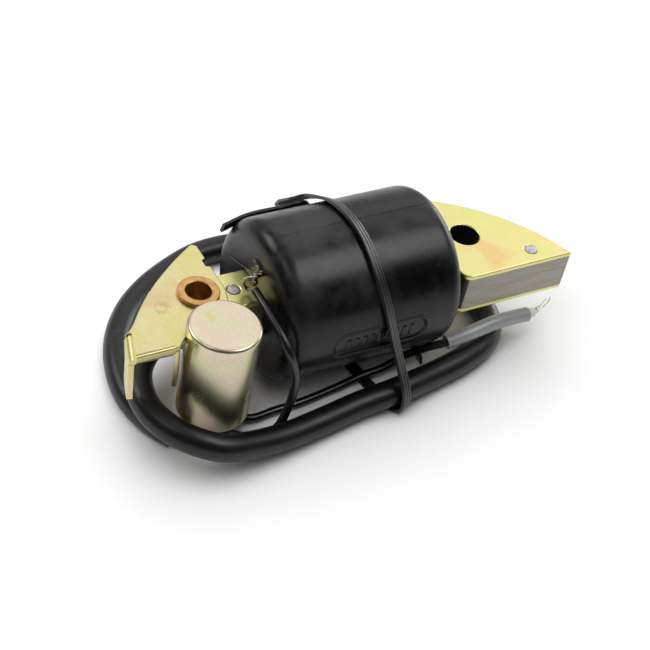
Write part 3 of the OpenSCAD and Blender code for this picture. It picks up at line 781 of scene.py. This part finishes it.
for a in turns:
    c, s = math.cos(a), math.sin(a)
    bore = min(slot_y / max(1e-6, abs(c)), slot_z / max(1e-6, abs(s)))
    column = [(bore, case_x0 + 2.0), (bore, case_x0 + 0.35), (bore + 0.35, case_x0)]
    column += [(bore + (16.2 - bore) * t, case_x0) for t in (0.3, 0.65, 1.0)]
    for x in xs:
        r = case_profile(x)
        if c < 0 and panel_x0 - 1 < x < panel_x1 + 1:
            r -= panel_depth(x, axis_z + case_r * s)
        r += witness(x, a)
        column.append((r, x))
    column += [(bore + (16.8 - bore) * t, case_x1) for t in (1.0, 0.65, 0.3)]
    column += [(bore + 0.35, case_x1), (bore, case_x1 - 0.35), (bore, case_x1 - 2.0)]
    for r, x in column:
        verts.append((x, r * c, axis_z + r * s))
long = len(column)
for i in range(len(turns)):
    j = (i + 1) % len(turns)
    for k in range(long - 1):
        faces.append((i * long + k, j * long + k, j * long + k + 1, i * long + k + 1))
case = mesh_piece("coil_case_moulding", verts, faces, 32)
finish_piece(case, phenolic, ["coil_case"])

boss = turned("lead_outlet_boss", [
    (0, 0), (ht_d / 2 + 0.5, 0), (ht_d / 2 + 0.95, 0.2), (ht_d / 2 + 1.2, 0.8),
    (ht_d / 2 + 1.3, 3.4), (ht_d / 2 + 1.6, 3.9), (ht_d / 2 + 2.1, 4.1), (ht_d / 2 + 2.1, 5.0)],
    (boss_x, out_y, out_z), "X", 48)
finish_piece(boss, rubber, ["ht_grommet"])

# --------------------------------------------------------------------- the core

# the rim of the pole is one arc, from its tip up to the coil
arc_r, arc_drop, pole_len = 53.0, 16.9, 33.7
arc_reach = math.sqrt(arc_r ** 2 - arc_drop ** 2)
arc_x = pole_x + pole_len - arc_reach
arc_y = pole_y - arc_drop
a_tip = math.degrees(math.atan2(arc_drop, arc_reach))
a_top = math.degrees(math.acos((pole_x - arc_x) / arc_r))
core_outline = arc(tail_x, 0, arm_w / 2, 90, 270, 36)
core_outline += [(pole_x, -arm_w / 2)]
core_outline += arc(pole_x + 3, pole_y + 3, 3, 180, 270, 10)
core_outline += [(x, pole_y) for x in (0.0, 12.0)]
core_outline += arc(arc_x, arc_y, arc_r, a_tip, a_top, 48)
core_outline += [(pole_x, arm_w / 2)]
pole_hole_r, tail_hole_r = 4.0, 4.3
pole_hole = hole(0, 0, pole_hole_r)
tail_hole = hole(tail_x, 0, tail_hole_r)
rivet_spots = [(14.3, -10.7), (tail_x + 9.8, 0)]
rivet_holes = [hole(x, y, 1.62, 32) for x, y in rivet_spots]
loops = [core_outline, pole_hole, tail_hole] + rivet_holes

top_plate = sheet_metal("core_top_sheet", loops, -plate_t, 0.0, 0.05, 0.45)
finish_piece(top_plate, core_zinc, ["core_top_plate"])
low_plate = sheet_metal("core_bottom_sheet", loops, -core_t, -core_t + plate_t, 0.45, 0.05)
finish_piece(low_plate, core_zinc, ["core_bottom_plate"])

# twenty thin sheets, each a hair out of line with the next
random.seed(5)
sheet_count = 20
pitch = (core_t - 2 * plate_t) / sheet_count
levels, slips = [], []
for k in range(sheet_count):
    z = -core_t + plate_t + k * pitch
    slip = (random.uniform(-0.02, 0.02), random.uniform(-0.02, 0.02))
    levels += [(0.05, z), (0.01, z + 0.03), (0.0, z + 0.07), (0.0, z + pitch - 0.06),
               (0.01, z + pitch - 0.02)]
    slips += [slip] * 5
sheets = stack("core_thin_sheets", [core_outline, pole_hole], levels, caps=False,
               wobble=lambda k: slips[k], sharp=20)
finish_piece(sheets, sheet_edges, ["core_laminations"])

# painted shade: the bore and the side towards the coil get a near-black material that stands in for
# the shadow lying there
for piece in (sheets, top_plate, low_plate):
    piece.data.materials.append(painted_bore_shade)
    for face in piece.data.polygons:
        middle_of_face = face.center / MM
        in_bore = math.hypot(middle_of_face.x, middle_of_face.y) < pole_hole_r + 0.06
        towards_coil = face.normal.x < -0.5 and -9.5 < middle_of_face.x < -7.5
        if in_bore or (towards_coil and piece == sheets):
            face.material_index = 1

rivets = []
for x, y in rivet_spots:
    for z, flip in ((0.0, 1), (-core_t, -1)):
        rivets.append(turned("rivet", [(0, 0.03 * flip), (0.9, 0.04 * flip), (1.4, 0.02 * flip),
                                       (1.58, -0.04 * flip), (1.6, -0.5 * flip)],
                             (x, y, z), "Z", 32))
rivet_set = joined("core_rivet_heads", rivets)
finish_piece(rivet_set, bright_rivet, ["core_rivets"])

# ------------------------------------------------------------------ the bracket

sheet = 1.5
plate_outline = rounded(
    [(-100.86, -14.4, 0), (-98.7, -7.55, 0), (-100.3, -7.4, 0.2), (-98.6, -6.3, 1.5)]
    + [(x, y, 0) for x, y in arc(-33.1, -52.7, 79.9, 142.6, 134.2, 10)]
    + [(-88.4, 4.75, 0.1), (-86.3, 6.75, 0), (-83.1, 9.35, 0), (-79.9, 11.8, 0),
       (-76.2, 14.4, 0), (-72.1, 17.0, 0.7), (-70.9, 16.1, 0.7), (-70.9, 11.1, 0.3),
       (-71.9, 10.7, 0.5), (-71.9, 8.5, 0.5), (-70.9, 8.1, 0.3), (-70.9, -0.5, 1.5),
       (-71.9, -4.1, 1.5), (-73.2, -7.2, 0.3)]
    + [(x, y, 0) for x, y in arc(can_x, can_y, can_r + 0.25, 57, 118, 14)]
    + [(-83.4, -8.95, 0.3), (-89.9, -15.2, 0.3), (-90.6, -15.2, 0), (-90.8, -14.4, 0)], 4)[::-1]
dimple_x, dimple_y = -88.4, -1.9
flat = sheet_metal("bracket_flat", [plate_outline, tail_hole,
                                    hole(dimple_x, dimple_y, 1.7, 32)], 0.0, sheet, 0.15, 0.3)

# the half-punched dimple: a shallow dish inside a raised lip
dish = turned("dimple", [
    (0, sheet - 0.1), (0.7, sheet - 0.09), (1.1, sheet - 0.06), (1.3, sheet),
    (1.45, sheet + 0.03), (1.6, sheet + 0.04), (1.8, sheet + 0.01), (2.0, sheet - 0.06),
    (2.0, 0.2), (1.2, -0.3), (0, -0.4)], (dimple_x, dimple_y, 0), "Z", 48, sharp=60)


def bent_strip(name, corner, heading, width, drop, turn=1, low_round=2.0, outer=1.9, lean=0.0,
               foot=None):
    """A strip bent down from the bracket's edge: corner is where its outer face starts, heading
    the way its width runs, turn the side it looks to, and lean how far it is bent inwards. The
    strip narrows from width to foot, with a round of low_round at one lower corner, and outer is
    the outer radius of the bend."""
    along = Vector((heading[0], heading[1], 0)).normalized()
    out = Vector((along.y, -along.x, 0)) * turn
    inner = max(0.1, outer - sheet)
    bend = [math.pi / 2 * k / 8 for k in range(9)]
    section = [(-outer + outer * math.sin(a), sheet - outer + outer * math.cos(a)) for a in bend]
    back = [(min(-0.5, -outer + inner * math.sin(a)), sheet - outer + inner * math.cos(a))
            for a in bend]
    if outer < sheet:
        back = [(-outer, 0.0), (-outer, -0.4)]
    profile = section + [(0.0, -0.4), (-min(sheet, outer), -0.4)] + back[::-1]
    base = Vector((corner[0], corner[1], 0))
    verts = []
    for t in (0.0, width):
        for o, z in profile:
            verts.append(tuple(base + along * t + out * o + Vector((0, 0, z))))
    n = len(profile)
    faces = [(k, (k + 1) % n, n + (k + 1) % n, n + k) for k in range(n)]
    faces += [tuple(range(n - 1, -1, -1)), tuple(range(n, 2 * n))]
    curve = mesh_piece(name + " bend", verts, faces, 25)
    foot = foot or width
    outline = rounded([(0, -drop, 0.4), (foot, -drop, low_round), (foot, -drop / 3, 0),
                       (width, 0.0, 0), (0, 0.0, 0)], 6)
    thick = min(sheet, outer + 0.3)
    origin = base + out * -thick
    matrix = Matrix((
        (along.x, out.x * lean, out.x, origin.x * MM),
        (along.y, out.y * lean, out.y, origin.y * MM),
        (0, 1, 0, 0), (0, 0, 0, 1)))
    leg = sheet_metal(name, [outline], 0.0, thick, 0.12, 0.2, matrix=matrix)
    return [curve, leg]


parts = [flat, dish]
parts += bent_strip("left leg", (-102.8, -15.2), (0.3, 0.954), 8.0, 11.8, turn=-1,
                    low_round=4.0, lean=0.05, foot=6.0)
parts += bent_strip("front lip", (-101.0, -15.2), (1, 0), 10.4, 2.1, turn=1, low_round=0.3,
                    outer=0.6, lean=0.5)
parts += bent_strip("right leg", (-89.75, -15.2), (0.55, 0.835), 2.6, 12.0, turn=1,
                    low_round=1.0, outer=0.8, lean=-0.03)
for part in parts:
    for mod in list(part.modifiers):
        bpy.context.view_layer.objects.active = part
        bpy.ops.object.modifier_apply(modifier=mod.name)
bracket = joined("bracket", parts)
finish_piece(bracket, bracket_zinc, ["bracket_plate"])

bush = turned("bracket_bush_turned", [
    (3.25, -core_t), (4.1, -core_t), (4.25, -core_t + 0.2), (4.25, sheet), (4.9, sheet),
    (5.12, sheet + 0.08), (5.25, sheet + 0.3), (5.25, sheet + 0.75), (5.12, sheet + 1.0),
    (4.85, sheet + 1.1), (3.6, sheet + 1.1), (3.4, sheet + 1.02), (3.25, sheet + 0.85)],
    (tail_x, 0, 0), "Z", 96, closed=True)
finish_piece(bush, sintered_bronze, ["bracket_bush"])

# ---------------------------------------------------------------- the condenser

rim = [(0, can_top - 0.12), (4.5, can_top - 0.1), (7.0, can_top - 0.05), (7.7, can_top)]
for k in range(9):
    a = math.pi / 2 * k / 8
    rim.append((can_r - 0.95 + 0.95 * math.sin(a), can_top - 0.95 + 0.95 * math.cos(a)))
rim += [(can_r, can_top - 3 - 2.4 * k) for k in range(10)]
for k in range(7):
    a = math.pi / 2 * k / 6
    rim.append((can_r - 1.0 + 1.0 * math.cos(a), can_bot + 1.0 - 1.0 * math.sin(a)))
rim += [(can_r - 1.6, can_bot), (can_r - 1.6, can_bot + 0.7)]
can = turned("condenser_can_drawn", rim, (can_x, can_y, 0), "Z", 128)
finish_piece(can, can_zinc, ["condenser_can"])


def blob(name, centre, radii, seed, rough=0.16):
    """A lump of solder: a ball pulled out of round by its surface."""
    built = bmesh.new()
    bmesh.ops.create_icosphere(built, subdivisions=4, radius=1.0)
    random.seed(seed)
    waves = [(random.uniform(1.5, 4), random.uniform(1.5, 4), random.uniform(1.5, 4),
              random.uniform(0, 6)) for _ in range(5)]
    for v in built.verts:
        n = v.co.normalized()
        k = 1 + rough * sum(math.sin(a * n.x + b * n.y + c * n.z + d)
                            for a, b, c, d in waves) / 2.5
        v.co = Vector((centre[0] + n.x * radii[0] * k, centre[1] + n.y * radii[1] * k,
                       centre[2] + n.z * radii[2] * k)) * MM
    mesh = bpy.data.meshes.new(name)
    built.to_mesh(mesh)
    built.free()
    mesh.shade_smooth()
    obj = bpy.data.objects.new(name, mesh)
    bpy.context.scene.collection.objects.link(obj)
    return obj


can_solder = []
for k, a in enumerate((70, 82, 95, 107)):
    can_solder.append(blob("lump", (can_x + (can_r + 0.1) * math.cos(math.radians(a)),
                                    can_y + (can_r + 0.1) * math.sin(math.radians(a)), 1.35),
                           (1.1, 0.55, 0.5), 20 + k))
can_joint = joined("can_solder_bead", can_solder)
finish_piece(can_joint, soft_solder, ["condenser_solder"])

pin = turned("pin", [(0, can_bot + 3.9), (1.0, can_bot + 3.9), (1.0, cap_bot + 2.6),
                     (1.5, cap_bot + 2.3), (1.9, cap_bot + 1.6), (2.0, cap_bot + 0.9),
                     (1.6, cap_bot + 0.2), (0.8, cap_bot), (0, cap_bot)],
             (can_x, can_y, 0), "Z", 40)
can_terminal = joined("can_terminal_pin", [pin, blob("lump", (can_x + 0.9, can_y - 0.5,
                                                              cap_bot + 1.4),
                                                     (1.3, 1.2, 1.2), 3)])
finish_piece(can_terminal, soft_solder, ["condenser_terminal"])

# ------------------------------------------------- the coil's low tension terminal

loop_points = [
    (-61.5, term_y, 5.5), (-63.6, term_y, 5.6), (-65.0, term_y - 0.9, 6.4), (-66.2, term_y - 0.6, 6.2),
    (-66.8, term_y + 0.5, 5.0), (-66.9, term_y + 1.0, 3.3), (-66.4, term_y + 1.0, 1.9),
    (-65.6, term_y + 0.2, 1.4), (-65.2, term_y - 1.0, 1.9), (-65.2, term_y - 1.9, 2.9)]
hook = swept("hook", smooth_route(loop_points, 0.35), circle(1.0, 12))
twist = []
for k in range(3):
    points = []
    for j in range(18):
        t = j / 17
        a = 2 * math.pi * (1.4 * t + k / 3)
        points.append((-65.4 + 0.6 * math.cos(a) + 2.3 * t, term_y - 0.6 + 2.0 * t,
                       term_z + 1.6 + 0.6 * math.sin(a) + 1.9 * t))
    twist.append(swept("turn", smooth_route(points, 0.35), circle(0.36, 8)))
terminal = joined("coil_terminal_hook", [hook] + twist)
finish_piece(terminal, tinned_copper, ["coil_terminal"])
# solder runs along the strands as a row of beads
beads = [blob("lump", (term_x, term_y - 0.4, term_z + 1.7), (1.2, 1.3, 1.1), 8, 0.3),
         blob("lump", (term_x + 1.2, term_y + 0.6, term_z + 2.4), (0.8, 0.8, 0.8), 9, 0.3)]
for k, (y, z, r) in enumerate(((-2.6, 6.1, 0.5), (-1.7, 6.2, 0.36), (-1.0, 6.7, 0.42),
                               (-0.2, 6.5, 0.3), (0.5, 6.9, 0.36), (1.4, 6.8, 0.26))):
    beads.append(blob("lump", (-62.9, y, z), (r, r * 1.2, r), 30 + k, 0.35))
solder_joint = joined("terminal_solder_drop", beads)
finish_piece(solder_joint, soft_solder, ["terminal_solder"])

fine_lead = swept("winding_lead_strand", smooth_route([
    (-62.72, 12.2, -1.2), (-62.74, 9.0, -0.2), (-62.74, 5.5, 1.2), (-62.9, 2.2, 2.6),
    (-63.6, 0.3, 3.4), (-64.6, -1.2, 3.9)], 0.5), circle(0.26, 8))
finish_piece(fine_lead, fine_copper, ["winding_lead"])

# --------------------------------------------------------------- floor and light

bpy.ops.mesh.primitive_plane_add(size=8, location=(0, 0, (floor_z - 0.02) * MM))
floor = bpy.context.object
floor.name = "floor"
paper, tree, shader = material("white paper sweep")
shader.inputs["Base Color"].default_value = linear("#f6f6f6")
shader.inputs["Roughness"].default_value = 0.9
shader.inputs["Specular IOR Level"].default_value = 0.1
floor.data.materials.append(paper)

# a dim studio whose front is dark, with a pale wall high behind the object
world = bpy.data.worlds.new("studio")
world.use_nodes = True
bpy.context.scene.world = world
sky = world.node_tree
facing = add(sky, "ShaderNodeVectorMath", {0: add(sky, "ShaderNodeTexCoord").outputs["Generated"],
                                           1: (0.35, 0.62, 0.7)}, operation="DOT_PRODUCT")
walls = add(sky, "ShaderNodeValToRGB", {"Fac": facing.outputs["Value"]},
            stops=[(0.0, 0.04), (0.35, 0.12), (0.75, 0.5), (1.0, 0.7)])
sky.links.new(walls.outputs["Color"], sky.nodes["Background"].inputs["Color"])


def softbox(name, towards, distance, size, radiance, card=False, mirrored=True):
    """A flat lamp seen from the object in one direction, as bright all over as radiance says.
    A card is there to be mirrored and throws no light on dull surfaces. A lamp that isn't
    mirrored lights dull surfaces and leaves no highlight."""
    light = bpy.data.lights.new(name, "AREA")
    light.shape = "RECTANGLE"
    light.size, light.size_y = size
    light.energy = radiance * math.pi * size[0] * size[1]
    obj = bpy.data.objects.new(name, light)
    middle = Vector((-0.04, 0.0, -0.01))
    way = Vector(towards).normalized()
    obj.location = middle + way * distance
    obj.rotation_euler = (-way).to_track_quat("-Z", "Y").to_euler()
    obj.visible_diffuse = not card
    obj.visible_glossy = mirrored
    bpy.context.scene.collection.objects.link(obj)


softbox("overhead softbox", (-0.1, 0.25, 1.0), 1.0, (1.5, 1.3), 1.75, mirrored=False)
softbox("left softbox", (-0.8, -0.2, 0.75), 1.1, (0.8, 0.8), 1.8, mirrored=False)
softbox("rear softbox", (0.42, 0.6, 0.68), 1.2, (1.0, 0.8), 0.62)
softbox("front overhead card", (0.449, -0.27, 0.852), 0.9, (0.5, 0.35), 4.7, card=True)
softbox("left rear card", (-0.5, 0.6, 0.62), 1.1, (0.5, 0.45), 4.5, card=True)
softbox("upper left card", (-0.52, -0.02, 0.85), 1.0, (0.3, 0.3), 2.5, card=True)
softbox("right card", (0.94, 0.28, 0.2), 1.0, (0.6, 0.4), 5.0, card=True)

bpy.context.scene.view_settings.view_transform = "Standard"
